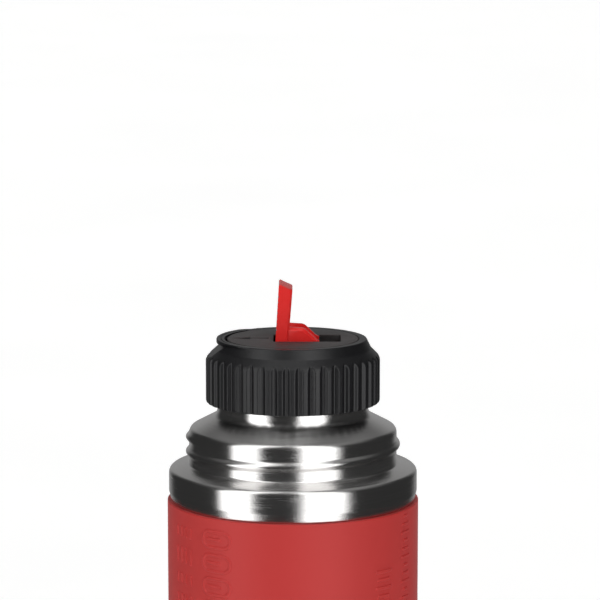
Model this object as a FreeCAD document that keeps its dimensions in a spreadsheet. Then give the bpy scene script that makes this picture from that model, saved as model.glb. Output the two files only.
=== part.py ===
import FreeCAD, Part
import Sketcher
import math
import os
import re

# A one-litre vacuum flask with a screw-in pouring stopper, in millimetres. +Z is up, the origin is on
# the table under the middle of the flask, and the pouring spout points along -X. The lever stands
# open at rest, a few degrees short of upright, and folds down towards +X.

doc = FreeCAD.newDocument("VacuumFlask")

# Driving dimensions. Every piece reads them from the sheet, and heights are chained from the base up.
SIZES = {
    # double-walled steel flask
    "outer_radius": 44.5,
    "shell_wall": 0.6,
    "vessel_wall": 0.5,
    "vacuum_gap": 4.0,
    "neck_gap": 0.5,
    "base_gap": 7.5,
    "base_round": 4.0,
    "base_hem": 6.5,
    "seal_hole": 1.0,
    "sleeve_top": 202.8,
    "groove_height": 2.4,
    "groove_step": 0.2,
    "band_step": 0.95,
    "band_height": 9.0,
    "band_round": 1.8,
    "ledge_rise": 2.0,
    "collar_inset": 6.5,
    "collar_height": 13.0,
    "collar_round": 1.6,
    "cone_rise": 5.9,
    "neck_radius": 27.6,
    "neck_height": 10.9,
    "weld_height": 2.6,
    "shoulder_height": 26.0,
    "foil_start": 30.0,
    "foil_margin": 26.2,
    "foil_gap": 0.15,
    "foil_wall": 0.2,
    "getter_radius": 4.5,
    "getter_offset": 20.0,
    # thread for the cup, rolled into the collar
    "cup_pitch": 5.25,
    "cup_turns": 1.1,
    "cup_bead_height": 1.2,
    "cup_bead_width": 3.3,
    "cup_thread_start": 4.4,
    # thread for the stopper, rolled into the neck
    "plug_pitch": 4.0,
    "plug_turns": 1.5,
    "plug_bead_height": 1.4,
    "bead_foot": 2.2,
    "bead_crown": 1.0,
    "plug_thread_start": 8.5,
    "thread_clearance": 0.4,
    # silicone sleeve and its foot
    "sleeve_wall": 1.5,
    "foot_height": 2.5,
    "foot_width": 12.0,
    "relief_height": 0.3,
    "relief_drop": 16.0,
    "relief_bar": 5.0,
    "relief_step": 9.0,
    # stopper
    "gasket_wall": 1.3,
    "seat_gap": 0.1,
    "flange_wall": 2.0,
    "flange_margin": 0.2,
    "ring_wall": 3.6,
    "ring_height": 23.2,
    "ring_over_flange": 12.5,
    "rim_inset": 4.9,
    "rim_width": 2.9,
    "waist_flare": 1.7,
    "waist_drop": 3.5,
    "shoulder_drop": 6.7,
    "ring_round": 3.0,
    "skirt_clearance": 0.6,
    "rib_count": 44,
    "rib_cutter": 1.15,
    "rib_depth": 1.1,
    "rib_start": 5.0,
    "spout_half_angle": 46.0,
    "spout_floor": 3.1,
    "spout_depth": 1.8,
    "spout_gap": 1.0,
    "spout_wall": 1.0,
    "lip_overhang": 1.0,
    "lip_width": 0.9,
    "lip_rise": 0.2,
    "lip_drop": 1.3,
    "lip_run": 4.0,
    "flat_low": 7.4,
    "flat_slope": 1.2,
    "disc_wall": 2.2,
    "disc_skirt": 1.6,
    "disc_clearance": 0.15,
    "plug_wall": 1.8,
    "plug_depth": 34.0,
    "plug_chamfer": 3.0,
    "plug_floor": 1.2,
    "inlet_radius": 8.5,
    "seat_width": 2.0,
    "seat_rise": 0.6,
    "seal_wire": 0.7,
    # lever and its pocket
    "slot_width": 16.0,
    "slot_west_gap": 0.7,
    "lever_play": 0.8,
    "lever_length": 22.1,
    "lever_thick": 4.7,
    "lever_lean": 3.5,
    "boss_radius": 1.5,
    "pivot_offset": 4.9,
    "cam_heel": 9.45,
    "cam_rate": 3.183,
    "fan_rise": 6.6,
    "fan_inset": 0.6,
    "cheek": 2.4,
    "tip_slant": 1.6,
    "pocket_wall": 1.2,
    "pocket_play": 0.35,
    "pin_radius": 0.75,
    "pin_hold": 2.0,
    "pin_play": 0.05,
    "engraving": 0.6,
    # valve
    "cam_gap": 0.1,
    "head_radius": 6.0,
    "head_wall": 1.5,
    "stem_radius": 2.0,
    "stem_play": 0.05,
    "floor_wall": 1.5,
    "floor_clearance": 2.1,
    "guide_radius": 6.5,
    "guide_wall": 1.1,
    "guide_depth": 6.4,
    "spring_radius": 3.6,
    "spring_wire": 0.35,
    "spring_turns": 5.0,
    "washer_lap": 1.0,
    "washer_wall": 2.0,
    "stem_flange_radius": 8.0,
    "stem_flange_wall": 1.5,
    "clip_radius": 5.0,
    "clip_wall": 1.0,
}

sheet = doc.addObject("Spreadsheet::Sheet", "dims")
for row, (alias, value) in enumerate(SIZES.items(), start=1):
    sheet.set(f"A{row}", alias)
    sheet.set(f"B{row}", str(value))
    sheet.setAlias(f"B{row}", alias)
doc.recompute()


def sheet_text(text):
    """The expression with each size named in the sheet."""
    return re.sub(r"[a-z][a-z_]+", lambda word: "dims." + word.group(0), str(text))


def number(text):
    """The value that an expression of sizes has now."""
    return float(sheet.evalExpression(sheet_text(text)))


def bind(item, **properties):
    """Tie an object's properties to expressions of sizes."""
    for name, text in properties.items():
        item.setExpression(name, sheet_text(text))


# Heights, as expressions of the sizes above.
GROOVE_LOW = "sleeve_top"
BAND_LOW = f"{GROOVE_LOW} + groove_height"
BAND_HIGH = f"{BAND_LOW} + band_height"
LEDGE_HIGH = f"{BAND_HIGH} + ledge_rise"
COLLAR_HIGH = f"{LEDGE_HIGH} + collar_height"
CONE_HIGH = f"{COLLAR_HIGH} + cone_rise"
NECK_HIGH = f"{CONE_HIGH} + neck_height"
BASE_LOW = "foot_height"
VESSEL_LOW = f"{BASE_LOW} + base_gap"
VESSEL_RADIUS = "outer_radius - shell_wall - vacuum_gap"
VESSEL_NECK = "neck_radius - shell_wall - neck_gap"
NECK_BORE = f"{VESSEL_NECK} - vessel_wall"
FLANGE_LOW = f"{NECK_HIGH} + gasket_wall + 2 * seat_gap"
FLANGE_HIGH = f"{FLANGE_LOW} + flange_wall"
TOP = f"{FLANGE_HIGH} + ring_over_flange"
RING_LOW = f"{TOP} - ring_height"
DISC_LOW = f"{TOP} - disc_wall"
GROOVE_RADIUS = "outer_radius + groove_step"
BAND_RADIUS = "outer_radius + band_step"
COLLAR_RADIUS = "outer_radius - collar_inset"
SKIRT_RADIUS = "neck_radius + skirt_clearance"
RING_RADIUS = f"{SKIRT_RADIUS} + ring_wall"
RIM_RADIUS = f"{RING_RADIUS} - rim_inset"
DISC_RADIUS = f"{RIM_RADIUS} - rim_width"
PLUG_RADIUS = f"{NECK_BORE} - plug_bead_height - thread_clearance"
PLUG_BORE = f"{PLUG_RADIUS} - plug_wall"
PLUG_LOW = f"{NECK_HIGH} - plug_depth"
PIVOT_X = "-pivot_offset"
PIVOT_Z = f"{TOP} - boss_radius"

# The lever's cam is the involute of a circle of radius cam_rate about the pivot, so the flat head that
# it pushes drops cam_rate for each radian of lever turn. Drops are counted from the upright lever.
QUARTER_TURN = math.pi / 2
REST_DROP = f"cam_heel + cam_rate * lever_lean * {math.pi / 180}"
CLOSED_DROP = f"cam_heel + cam_rate * {QUARTER_TURN}"
HEAD_HIGH = f"{PIVOT_Z} - ({REST_DROP}) - cam_gap"
HEAD_LOW = f"{HEAD_HIGH} - head_wall"
HEAD_LOW_CLOSED = f"{PIVOT_Z} - ({CLOSED_DROP}) - cam_gap - head_wall"
VALVE_TRAVEL = f"(({CLOSED_DROP}) - ({REST_DROP}))"
SEAT_HIGH = f"{PLUG_LOW} + plug_floor + seat_rise"
WASHER_LOW = f"{SEAT_HIGH} + seat_gap + {VALVE_TRAVEL}"
WASHER_HIGH = f"{WASHER_LOW} + washer_wall"
FLOOR_HIGH = f"{PIVOT_Z} - ({CLOSED_DROP}) - floor_clearance"
FLOOR_LOW = f"{FLOOR_HIGH} - floor_wall"
GUIDE_LOW = f"{FLOOR_HIGH} - guide_depth"
GUIDE_SEAT = f"{GUIDE_LOW} + 2 * guide_wall + 2 * seal_wire"

bodies = []


def new_body(node):
    """A piece of its own, whose label names its file."""
    body = doc.addObject("PartDesign::Body", node)
    body.Label = node
    bodies.append(body)
    return body


def sketch_on(body, name, role, lift="0", turn=0.0):
    """A sketch on one of the body's own origin planes, lifted along its normal or turned about Z."""
    sketch = body.newObject("Sketcher::SketchObject", name)
    plane = next(item for item in body.Origin.OriginFeatures if item.Role == role)
    sketch.AttachmentSupport = (plane, [""])
    sketch.MapMode = "FlatFace"
    rotation = FreeCAD.Rotation(FreeCAD.Vector(0, 1, 0), turn)
    sketch.AttachmentOffset = FreeCAD.Placement(FreeCAD.Vector(0, 0, number(lift)), rotation)
    if lift != "0":
        sketch.setExpression(".AttachmentOffset.Base.z", sheet_text(lift))
    return sketch


def hold(sketch, kind, where, text):
    """Add a dimension to a sketch and tie it to an expression."""
    index = sketch.addConstraint(Sketcher.Constraint(kind, *where, number(text)))
    sketch.setExpression(f"Constraints[{index}]", sheet_text(text))


def fix_point(sketch, where, across, along):
    """Hold a sketch point at its two coordinates from the origin."""
    hold(sketch, "DistanceX", (-1, 1, *where), across)
    hold(sketch, "DistanceY", (-1, 1, *where), along)


def corner_cut(before, corner, after, radius):
    """The two ends of the arc that rounds a corner, and the arc's middle."""
    back = (before - corner).normalize()
    ahead = (after - corner).normalize()
    half = back.getAngle(ahead) / 2
    reach = radius / math.tan(half)
    middle_way = (back + ahead).normalize()
    centre = corner + middle_way * (radius / math.sin(half))
    return corner + back * reach, centre - middle_way * radius, corner + ahead * reach


def draw_outline(sketch, corners):
    """A closed outline through corners (across, along) or (across, along, rounding radius)."""
    spots = [FreeCAD.Vector(number(corner[0]), number(corner[1]), 0) for corner in corners]
    count = len(corners)
    arrive = list(spots)
    leave = list(spots)
    middles = [None] * count
    for index, corner in enumerate(corners):
        if len(corner) == 3:
            cut = corner_cut(spots[index - 1], spots[index], spots[(index + 1) % count], number(corner[2]))
            arrive[index], middles[index], leave[index] = cut
    lines = []
    for index in range(count):
        line = Part.LineSegment(leave[index], arrive[(index + 1) % count])
        lines.append(sketch.addGeometry(line, False))
    for index, corner in enumerate(corners):
        line_in = lines[index - 1]
        line_out = lines[index]
        if middles[index] is None:
            sketch.addConstraint(Sketcher.Constraint("Coincident", line_in, 2, line_out, 1))
            fix_point(sketch, (line_out, 1), corner[0], corner[1])
            continue
        cut = arrive[index], middles[index], leave[index]
        round_off(sketch, line_in, line_out, cut, spots[index], corner)


def round_off(sketch, line_in, line_out, cut, spot, corner):
    """Join two lines with a tangent arc, held by the corner point that the lines aim at."""
    arc_shape = Part.Arc(*cut)
    arc = sketch.addGeometry(arc_shape, False)
    first = sketch.getPoint(arc, 1)
    start, finish = (1, 2) if first.distanceToPoint(cut[0]) < first.distanceToPoint(cut[2]) else (2, 1)
    point = sketch.addGeometry(Part.Point(spot), True)
    sketch.addConstraint(Sketcher.Constraint("Tangent", line_in, 2, arc, start))
    sketch.addConstraint(Sketcher.Constraint("Tangent", line_out, 1, arc, finish))
    sketch.addConstraint(Sketcher.Constraint("PointOnObject", point, 1, line_in))
    sketch.addConstraint(Sketcher.Constraint("PointOnObject", point, 1, line_out))
    fix_point(sketch, (point, 1), corner[0], corner[1])
    hold(sketch, "Radius", (arc,), corner[2])


def draw_circle(sketch, across, along, radius):
    """A circle held by its centre and radius."""
    centre = FreeCAD.Vector(number(across), number(along), 0)
    circle = sketch.addGeometry(Part.Circle(centre, FreeCAD.Vector(0, 0, 1), number(radius)), False)
    if (str(across), str(along)) == ("0", "0"):
        sketch.addConstraint(Sketcher.Constraint("Coincident", circle, 3, -1, 1))
    else:
        fix_point(sketch, (circle, 3), across, along)
    hold(sketch, "Radius", (circle,), radius)


def turned(body, name, corners, cut=False, angle=None, centre=0.0):
    """Revolve an outline of (radius, height) corners about Z, all round or over an angle."""
    sketch = sketch_on(body, name + "_outline", "XZ_Plane", turn=centre)
    draw_outline(sketch, corners)
    feature = body.newObject("PartDesign::Groove" if cut else "PartDesign::Revolution", name)
    feature.Profile = sketch
    feature.ReferenceAxis = (sketch, ["V_Axis"])
    feature.Angle = 360
    if angle is not None:
        feature.Midplane = True
        bind(feature, Angle=angle)
    doc.recompute()
    return feature


def raised(body, name, draw, low, high):
    """Pad a drawing on the XY plane from one height to another."""
    sketch = sketch_on(body, name + "_outline", "XY_Plane", low)
    draw(sketch)
    feature = body.newObject("PartDesign::Pad", name)
    feature.Profile = sketch
    bind(feature, Length=f"({high}) - ({low})")
    doc.recompute()
    return feature


def sunk(body, name, draw, high, low):
    """Cut a drawing on the XY plane from one height down to another."""
    sketch = sketch_on(body, name + "_outline", "XY_Plane", high)
    draw(sketch)
    before = body.Shape.Volume
    feature = body.newObject("PartDesign::Pocket", name)
    feature.Profile = sketch
    bind(feature, Length=f"({high}) - ({low})")
    doc.recompute()
    if body.Shape.Volume >= before:
        raise RuntimeError(f"{name} cuts nothing")
    return feature


def crossed(body, name, draw, width, cut=True):
    """Cut or pad a drawing on the XZ plane, evenly to both sides of it."""
    sketch = sketch_on(body, name + "_outline", "XZ_Plane")
    draw(sketch)
    feature = body.newObject("PartDesign::Pocket" if cut else "PartDesign::Pad", name)
    feature.Profile = sketch
    feature.Midplane = True
    bind(feature, Length=width)
    doc.recompute()
    return feature


def wound(body, name, corners, pitch, turns, start=0.0):
    """Sweep an outline of (radius, height) corners up a right-hand helix about Z, from an angle."""
    sketch = sketch_on(body, name + "_outline", "XZ_Plane", turn=start)
    draw_outline(sketch, corners)
    feature = body.newObject("PartDesign::AdditiveHelix", name)
    feature.Profile = sketch
    feature.ReferenceAxis = (sketch, ["V_Axis"])
    feature.Mode = "pitch-turns-angle"
    bind(feature, Pitch=pitch, Turns=turns)
    doc.recompute()
    return feature


def rectangle(west, east, south, north):
    """A drawing of a rectangle between four expressions."""
    corners = [(west, south), (east, south), (east, north), (west, north)]
    return lambda sketch: draw_outline(sketch, corners)


def ring_seal(node, radius, wire, height):
    """An O-ring about Z."""
    seal = doc.addObject("Part::Torus", node)
    seal.Label = node
    bind(seal, Radius1=radius, Radius2=wire)
    seal.setExpression(".Placement.Base.z", sheet_text(height))
    bodies.append(seal)
    return seal


# Outer shell: spun steel, from the hem under the base to the rim of the neck.
def wall_pair(points, wall):
    """A thin wall's closed outline from its outer points: radius, height, how many walls the inner
    point lies further in and further down, and the two radii if the corner is rounded."""
    outer = [point[:2] + point[4:5] for point in points]
    inner = []
    for radius, height, inward, down, *rounding in points:
        inner.append((f"{radius} - ({inward}) * {wall}", f"{height} - ({down}) * {wall}", *rounding[1:]))
    return outer + inner[::-1]


outer_shell = new_body("outer_shell")
shell_points = [
    ("outer_radius - base_hem", BASE_LOW, 0, -1),
    ("outer_radius", BASE_LOW, 1, -1, "base_round", "base_round - shell_wall"),
    ("outer_radius", GROOVE_LOW, 1, 0),
    (GROOVE_RADIUS, f"{GROOVE_LOW} + 0.4", 1, 0),
    (GROOVE_RADIUS, f"{BAND_LOW} - 0.6", 1, 0),
    (BAND_RADIUS, BAND_LOW, 1, 0),
    (BAND_RADIUS, BAND_HIGH, 1, 1, "band_round", "band_round - shell_wall"),
    (COLLAR_RADIUS, LEDGE_HIGH, 1, 1, "0.8", "0.8 + shell_wall"),
    (COLLAR_RADIUS, COLLAR_HIGH, 1, 0.6, "collar_round", "collar_round - shell_wall"),
    ("neck_radius + 1", CONE_HIGH, 0.8, 1, "1.2", "1.2 + shell_wall"),
    ("neck_radius", f"{CONE_HIGH} + 0.7", 1, 1),
    ("neck_radius", NECK_HIGH, 1, 0),
]
turned(outer_shell, "shell_wall_turned", wall_pair(shell_points, "shell_wall"))
bead_low = f"{LEDGE_HIGH} + cup_thread_start - cup_bead_width / 2"
bead_inside = f"{COLLAR_RADIUS} - shell_wall / 2"
bead_crest = f"{COLLAR_RADIUS} + cup_bead_height"
wound(outer_shell, "cup_thread", [
    (bead_inside, bead_low),
    (bead_crest, f"{bead_low} + 0.9", "0.5"),
    (bead_crest, f"{bead_low} + cup_bead_width - 0.9", "0.5"),
    (bead_inside, f"{bead_low} + cup_bead_width"),
], "cup_pitch", "cup_turns", start=170.0)

# Inner vessel: drawn steel with a flared rim that is welded inside the shell's rim.
inner_vessel = new_body("inner_vessel")
SHOULDER_LOW = f"{BAND_HIGH} - shoulder_height / 2"
SHOULDER_HIGH = f"{BAND_HIGH} + shoulder_height / 2"
FLARE_LOW = f"{NECK_HIGH} - weld_height"
vessel_points = [
    (VESSEL_RADIUS, f"{VESSEL_LOW} + 4.5", 1, 0),
    (VESSEL_RADIUS, SHOULDER_LOW, 1, 0.4),
    (VESSEL_NECK, SHOULDER_HIGH, 1, 0.4),
    (VESSEL_NECK, f"{FLARE_LOW} - 0.5", 1, 0),
    ("neck_radius - shell_wall", FLARE_LOW, 1, 0),
    ("neck_radius - shell_wall", NECK_HIGH, 1, 0),
]
turned(inner_vessel, "vessel_wall_turned", wall_pair(vessel_points, "vessel_wall"))
thread_low = f"{NECK_HIGH} - plug_thread_start - plug_pitch * plug_turns"
wound(inner_vessel, "stopper_thread", [
    (f"{NECK_BORE} + vessel_wall / 2", f"{thread_low} - bead_foot / 2"),
    (f"{NECK_BORE} + vessel_wall / 2", f"{thread_low} + bead_foot / 2"),
    (f"{NECK_BORE} - plug_bead_height", f"{thread_low} + bead_crown / 2"),
    (f"{NECK_BORE} - plug_bead_height", f"{thread_low} - bead_crown / 2"),
], "plug_pitch", "plug_turns")

# Inner base: a dished steel cap that closes the vessel.
inner_base = new_body("inner_base")
turned(inner_base, "inner_base_turned", wall_pair([
    ("0", VESSEL_LOW, 0, -1),
    (f"{VESSEL_RADIUS} - 4", VESSEL_LOW, 0.4, -1),
    (VESSEL_RADIUS, f"{VESSEL_LOW} + 4", 1, -0.4),
    (VESSEL_RADIUS, f"{VESSEL_LOW} + 4.5", 1, 0),
], "vessel_wall"))

# Outer base: a steel disc welded onto the hem inside the shell, with the evacuation hole.
outer_base = new_body("outer_base")
PLATE_LOW = f"{BASE_LOW} + shell_wall"
turned(outer_base, "outer_base_turned", [
    ("seal_hole", f"{PLATE_LOW} + 1"),
    ("outer_radius - base_hem - 3", f"{PLATE_LOW} + 1"),
    ("outer_radius - base_hem", PLATE_LOW),
    ("outer_radius - base_round - 0.2", PLATE_LOW),
    ("outer_radius - base_round - 0.2", f"{PLATE_LOW} + shell_wall"),
    ("outer_radius - base_hem", f"{PLATE_LOW} + shell_wall"),
    ("outer_radius - base_hem - 3", f"{PLATE_LOW} + 1 + shell_wall"),
    ("seal_hole", f"{PLATE_LOW} + 1 + shell_wall"),
])

# Vacuum seal: the bead of solder glass in the evacuation hole.
vacuum_seal = new_body("vacuum_seal")
turned(vacuum_seal, "seal_turned", [
    ("0", f"{PLATE_LOW} + 0.2"),
    ("2 * seal_hole", f"{PLATE_LOW} + 0.5"),
    ("2 * seal_hole + 0.4", f"{PLATE_LOW} + 1"),
    ("seal_hole", f"{PLATE_LOW} + 1"),
    ("seal_hole", f"{PLATE_LOW} + 1 + shell_wall"),
    ("0", f"{PLATE_LOW} + 1 + shell_wall"),
])

# Base cover: a thin steel cap bonded over the seal, inside the sleeve's foot.
base_cover = new_body("base_cover")
COVER_RADIUS = "outer_radius + sleeve_wall - foot_width - 0.3"
turned(base_cover, "cover_turned", [
    ("0", f"{BASE_LOW} - 0.7"),
    (f"{COVER_RADIUS} - 2", f"{BASE_LOW} - 0.7"),
    (COVER_RADIUS, f"{BASE_LOW} - 0.1"),
    (COVER_RADIUS, f"{BASE_LOW} + 0.4"),
    (f"{COVER_RADIUS} - 2", f"{BASE_LOW} - 0.2"),
    ("0", f"{BASE_LOW} - 0.2"),
])

# Getter: the pressed tablet that keeps the vacuum, held on the outer base.
getter = doc.addObject("Part::Cylinder", "getter")
getter.Label = "getter"
bind(getter, Radius="getter_radius", Height="base_gap / 3")
getter.setExpression(".Placement.Base.x", sheet_text("getter_offset"))
getter.setExpression(".Placement.Base.z", sheet_text(f"{PLATE_LOW} + 1 + shell_wall"))
bodies.append(getter)

# Radiation foil: bright copper wrapped round the vessel in the vacuum.
radiation_foil = new_body("radiation_foil")
FOIL_RADIUS = f"{VESSEL_RADIUS} + foil_gap"
FOIL_HIGH = f"{SHOULDER_LOW} - foil_margin"
turned(radiation_foil, "foil_turned", [
    (FOIL_RADIUS, "foil_start"),
    (f"{FOIL_RADIUS} + foil_wall", "foil_start"),
    (f"{FOIL_RADIUS} + foil_wall", FOIL_HIGH),
    (FOIL_RADIUS, FOIL_HIGH),
])

# Silicone sleeve: a stretched skin with a thick foot turned in under the base, and raised bars.
silicone_sleeve = new_body("silicone_sleeve")
SLEEVE_RADIUS = "outer_radius + sleeve_wall"
turned(silicone_sleeve, "sleeve_turned", [
    (f"{SLEEVE_RADIUS} - foot_width", "0", "0.6"),
    (SLEEVE_RADIUS, "0", "base_round + sleeve_wall - 0.5"),
    (SLEEVE_RADIUS, "sleeve_top", "0.5"),
    ("outer_radius", "sleeve_top"),
    ("outer_radius", "foot_height", "base_round"),
    (f"{SLEEVE_RADIUS} - foot_width", "foot_height"),
])
RELIEF_GROUPS = {"left": -137.0, "right": -37.0}
BAR_SPANS = [26.0, 18.0, 26.0]
for side, centre in RELIEF_GROUPS.items():
    for row, span in enumerate(BAR_SPANS):
        bar_high = f"sleeve_top - relief_drop - {row} * relief_step"
        turned(silicone_sleeve, f"bar_{side}_{row}", [
            ("outer_radius + sleeve_wall / 2", f"{bar_high} - relief_bar"),
            (f"{SLEEVE_RADIUS} + relief_height", f"{bar_high} - relief_bar"),
            (f"{SLEEVE_RADIUS} + relief_height", bar_high),
            ("outer_radius + sleeve_wall / 2", bar_high),
        ], angle=str(span), centre=centre)

# Neck gasket: the flat silicone ring that the stopper presses on the rim.
neck_gasket = new_body("neck_gasket")
turned(neck_gasket, "gasket_turned", [
    (f"{PLUG_RADIUS} + 0.4", f"{NECK_HIGH} + seat_gap"),
    ("neck_radius + 0.2", f"{NECK_HIGH} + seat_gap"),
    ("neck_radius + 0.2", f"{NECK_HIGH} + seat_gap + gasket_wall"),
    (f"{PLUG_RADIUS} + 0.4", f"{NECK_HIGH} + seat_gap + gasket_wall"),
])

# Grip ring: the moulded collar with ribs, the pouring lip and the flat under it.
grip_ring = new_body("grip_ring")
RING_BORE = f"{DISC_RADIUS} + disc_clearance"
turned(grip_ring, "ring_turned", [
    (SKIRT_RADIUS, RING_LOW),
    (RING_RADIUS, RING_LOW, "0.4"),
    (RING_RADIUS, f"{TOP} - shoulder_drop", "ring_round"),
    (f"{RIM_RADIUS} + waist_flare", f"{TOP} - waist_drop", "1.5"),
    (RIM_RADIUS, TOP, "0.4"),
    (RING_BORE, TOP),
    (RING_BORE, FLANGE_HIGH),
    (SKIRT_RADIUS, FLANGE_HIGH),
])
rib_cut = sunk(grip_ring, "rib_groove", lambda sketch: draw_circle(
    sketch, f"{RING_RADIUS} - rib_depth + rib_cutter", "0", "rib_cutter"),
    f"{TOP} - rib_start", f"{RING_LOW} - 1")
rib_pattern = grip_ring.newObject("PartDesign::PolarPattern", "ribs")
rib_pattern.Originals = [rib_cut]
rib_pattern.Axis = (rib_cut.Profile[0], ["N_Axis"])
rib_pattern.Angle = 360
bind(rib_pattern, Occurrences="rib_count")
grip_ring.Tip = rib_pattern
doc.recompute()
LIP_RADIUS = f"{RIM_RADIUS} + lip_overhang"
SPOUT_WALL_IN = f"{DISC_RADIUS} + spout_gap"
SPOUT_WALL_OUT = f"{SPOUT_WALL_IN} + spout_wall"
FLAT_REACH = f"{RING_RADIUS} + flat_slope * 2"
crossed(grip_ring, "spout_flat", lambda sketch: draw_outline(sketch, [
    (f"-{RING_BORE}", f"{TOP} + 1"),
    (f"-{RING_BORE}", f"{TOP} - flat_low + ({RING_RADIUS} - ({RING_BORE})) / flat_slope"),
    (f"-({FLAT_REACH})", f"{TOP} - flat_low - 2"),
    (f"-({FLAT_REACH})", f"{TOP} + 1"),
]), f"1.5 * ({RING_RADIUS})")
turned(grip_ring, "pouring_lip", [
    (SPOUT_WALL_IN, f"{TOP} - lip_run"),
    (SPOUT_WALL_OUT, f"{TOP} - lip_run"),
    (SPOUT_WALL_OUT, f"{TOP} - lip_drop - 1.1"),
    (LIP_RADIUS, f"{TOP} - lip_drop"),
    (LIP_RADIUS, f"{TOP} + lip_rise", "0.3"),
    (f"{LIP_RADIUS} - lip_width", f"{TOP} + lip_rise"),
    (SPOUT_WALL_IN, f"{TOP} - spout_depth"),
], angle="2 * spout_half_angle + 10", centre=180.0)
turned(grip_ring, "spout_channel", [
    (f"{DISC_RADIUS} - 1", f"{FLANGE_HIGH} + spout_floor - 0.4"),
    (f"{SPOUT_WALL_OUT} - 0.4", f"{FLANGE_HIGH} + spout_floor - 0.4"),
    (f"{RIM_RADIUS} + 0.2", f"{FLANGE_HIGH} + spout_floor + 1.2"),
    (f"{RIM_RADIUS} + 0.2", f"{TOP} - lip_run - 1.6"),
    (SPOUT_WALL_IN, f"{TOP} - lip_run + 0.6"),
    (SPOUT_WALL_IN, f"{TOP} - spout_depth"),
    (f"{LIP_RADIUS} - lip_width", f"{TOP} + lip_rise"),
    (f"{LIP_RADIUS} - lip_width", f"{TOP} + 2"),
    (f"{DISC_RADIUS} - 1", f"{TOP} + 2"),
], cut=True, angle="2 * spout_half_angle", centre=180.0)

# Top disc: a plate with a skirt, the lever's pocket under its slot, and an engraved arrow.
top_disc = new_body("top_disc")
SKIRT_BORE = f"{DISC_RADIUS} - disc_skirt"
HALF_SLOT = "slot_width / 2"
PIN_LENGTH = "(slot_width + 2 * pin_hold)"
SLOT_WEST = f"{PIVOT_X} - boss_radius - slot_west_gap"
SLOT_EAST = f"{PIVOT_X} + lever_length + pocket_play - 0.1"
SLOT_LOW = f"{PIVOT_Z} + boss_radius - lever_thick - 0.9"
WELL_WEST = f"{PIVOT_X} - cam_heel - pocket_play - 0.1"
WELL_EAST = f"{PIVOT_X} + cam_heel + cam_rate * {QUARTER_TURN} + pocket_play + 0.3"
turned(top_disc, "plate_turned", [
    ("0", DISC_LOW),
    (SKIRT_BORE, DISC_LOW),
    (SKIRT_BORE, FLANGE_HIGH),
    (DISC_RADIUS, FLANGE_HIGH),
    (DISC_RADIUS, f"{TOP} - 0.3"),
    (f"{DISC_RADIUS} - 0.3", TOP),
    ("0", TOP),
])
raised(top_disc, "pocket_box", rectangle(
    f"{WELL_WEST} - pocket_wall", f"{WELL_EAST} + pocket_wall",
    f"-{HALF_SLOT} - pocket_wall", f"{HALF_SLOT} + pocket_wall"), FLOOR_LOW, f"{DISC_LOW} + 0.2")
raised(top_disc, "tab_box", rectangle(
    WELL_EAST, f"{SLOT_EAST} + pocket_wall",
    f"-{HALF_SLOT} - pocket_wall", f"{HALF_SLOT} + pocket_wall"),
    f"{SLOT_LOW} - pocket_wall", f"{DISC_LOW} + 0.2")
sunk(top_disc, "pocket_well", rectangle(WELL_WEST, WELL_EAST, f"-{HALF_SLOT}", HALF_SLOT),
     DISC_LOW, FLOOR_HIGH)
sunk(top_disc, "lever_slot", rectangle(SLOT_WEST, SLOT_EAST, f"-{HALF_SLOT}", HALF_SLOT), TOP, SLOT_LOW)
sunk(top_disc, "guide_hole", lambda sketch: draw_circle(sketch, "0", "0", "guide_radius + 0.1"),
     FLOOR_HIGH, f"{FLOOR_LOW} - 1")
crossed(top_disc, "pin_bore", lambda sketch: draw_circle(
    sketch, PIVOT_X, PIVOT_Z, "pin_radius + pin_play"), f"{PIN_LENGTH} + 0.4")
turned(top_disc, "skirt_opening", [
    (f"{SKIRT_BORE} - 1", f"{FLANGE_HIGH} + spout_floor"),
    (f"{DISC_RADIUS} + 1", f"{FLANGE_HIGH} + spout_floor"),
    (f"{DISC_RADIUS} + 1", f"{DISC_LOW} - 1.2"),
    (f"{SKIRT_BORE} - 1", f"{DISC_LOW} - 1.2"),
], cut=True, angle="2 * spout_half_angle - 16", centre=180.0)
SEAL_SEAT = f"{DISC_RADIUS} - 2 * seal_wire + 0.05"
turned(top_disc, "seal_groove", [
    (SEAL_SEAT, f"{FLANGE_HIGH} + 0.9"),
    (f"{DISC_RADIUS} + 1", f"{FLANGE_HIGH} + 0.9"),
    (f"{DISC_RADIUS} + 1", f"{FLANGE_HIGH} + 1.1 + 2 * seal_wire"),
    (SEAL_SEAT, f"{FLANGE_HIGH} + 1.1 + 2 * seal_wire"),
], cut=True)
ARROW_TIP = f"-({DISC_RADIUS}) + 1.3"
ARROW_NECK = f"-({DISC_RADIUS}) + 8.5"
ARROW_TAIL = f"-({DISC_RADIUS}) + 15.2"
sunk(top_disc, "arrow", lambda sketch: draw_outline(sketch, [
    (ARROW_TIP, "0"),
    (ARROW_NECK, "-3.2"),
    (ARROW_NECK, "-1.1"),
    (ARROW_TAIL, "-1.1"),
    (ARROW_TAIL, "1.1"),
    (ARROW_NECK, "1.1"),
    (ARROW_NECK, "3.2"),
]), TOP, f"{TOP} - engraving")

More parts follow.
